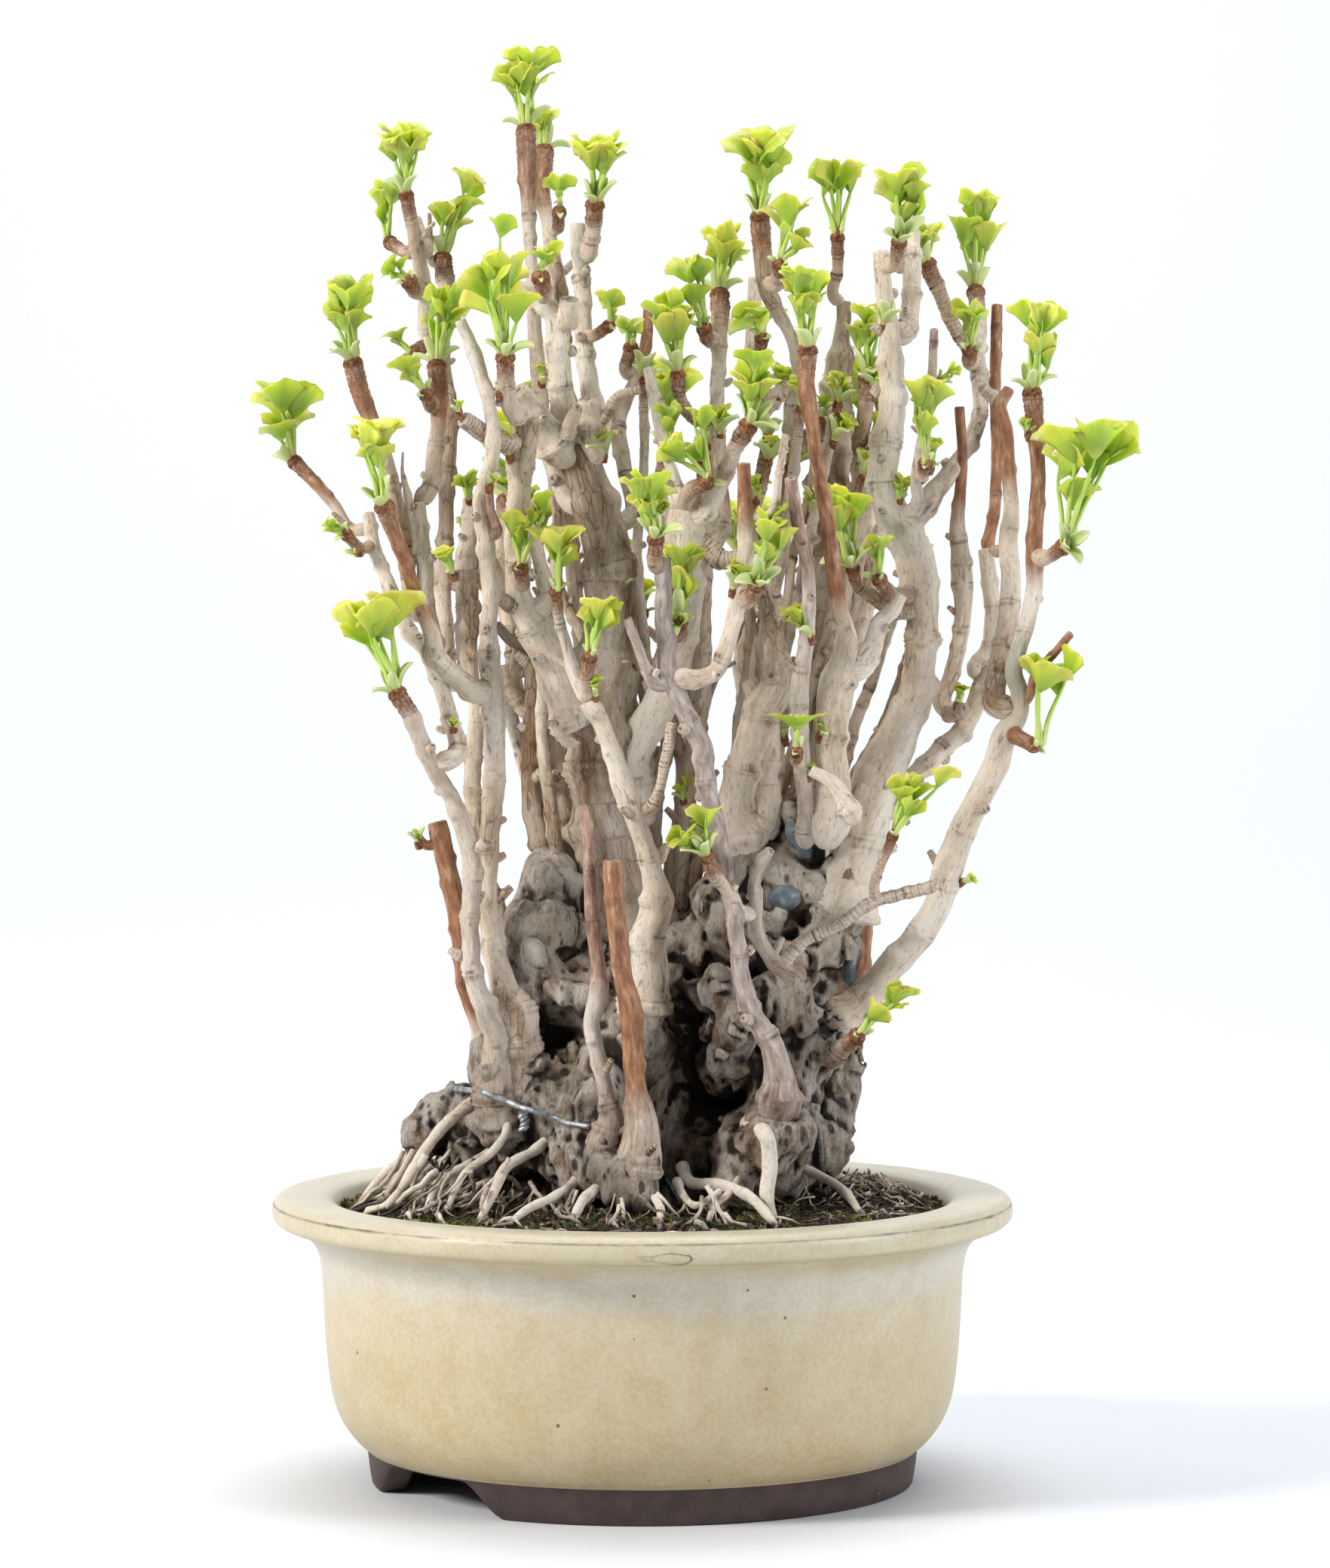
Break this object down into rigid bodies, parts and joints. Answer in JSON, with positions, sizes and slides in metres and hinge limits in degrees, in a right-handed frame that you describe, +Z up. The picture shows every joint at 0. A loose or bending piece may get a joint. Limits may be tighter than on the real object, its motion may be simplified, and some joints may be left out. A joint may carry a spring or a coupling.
{
  "type": "potted ginkgo bonsai",
  "caption": "Clump-style ginkgo bonsai with a gnarled burl, upright bare stems and small fan-leaf sprays, in a round cream pot with a flared lip.",
  "frame": {"origin": "bottom centre of the whole object's bounds, on the surface that the pot stands on", "axes": "+Z up, +Y away from the viewer of the front, +X to the viewer's right"},
  "size_m": [0.2918, 0.249, 0.4871],
  "materials": {
    "pot_glaze": "cream glaze on fired clay",
    "soil": "dark loose soil",
    "bark": "grey-brown bark",
    "wire": "dull dark tie wire",
    "leaf": "fresh yellow-green leaf"
  },
  "bodies": {
    "root": {"pot": "pot_glaze", "soil": "soil", "tree": "bark", "tie_wire": "wire", "leaf_spray_01": "leaf", "leaf_spray_02": "leaf", "leaf_spray_03": "leaf", "leaf_spray_04": "leaf", "leaf_spray_05": "leaf", "leaf_spray_06": "leaf", "leaf_spray_07": "leaf", "leaf_spray_08": "leaf", "leaf_spray_09": "leaf", "leaf_spray_10": "leaf", "leaf_spray_11": "leaf", "leaf_spray_12": "leaf", "leaf_spray_13": "leaf", "leaf_spray_14": "leaf", "leaf_spray_15": "leaf", "leaf_spray_16": "leaf", "leaf_spray_17": "leaf", "leaf_spray_18": "leaf", "leaf_spray_19": "leaf", "leaf_spray_20": "leaf", "leaf_spray_21": "leaf", "leaf_spray_22": "leaf", "leaf_spray_23": "leaf", "leaf_spray_24": "leaf", "leaf_spray_25": "leaf", "leaf_spray_26": "leaf", "leaf_spray_27": "leaf", "leaf_spray_28": "leaf", "leaf_spray_29": "leaf", "leaf_spray_30": "leaf", "leaf_spray_31": "leaf", "leaf_spray_32": "leaf", "leaf_spray_33": "leaf", "leaf_spray_34": "leaf", "leaf_spray_35": "leaf", "leaf_spray_36": "leaf", "leaf_spray_37": "leaf", "leaf_spray_38": "leaf", "leaf_spray_39": "leaf", "leaf_spray_40": "leaf", "leaf_spray_41": "leaf", "leaf_spray_42": "leaf", "leaf_spray_43": "leaf", "leaf_spray_44": "leaf", "leaf_spray_45": "leaf", "leaf_spray_46": "leaf", "leaf_spray_47": "leaf", "leaf_spray_48": "leaf", "leaf_spray_49": "leaf", "leaf_spray_50": "leaf", "leaf_spray_51": "leaf", "leaf_spray_52": "leaf", "leaf_spray_53": "leaf", "leaf_spray_54": "leaf", "leaf_spray_55": "leaf", "leaf_spray_56": "leaf"}
  },
  "joints": []
}
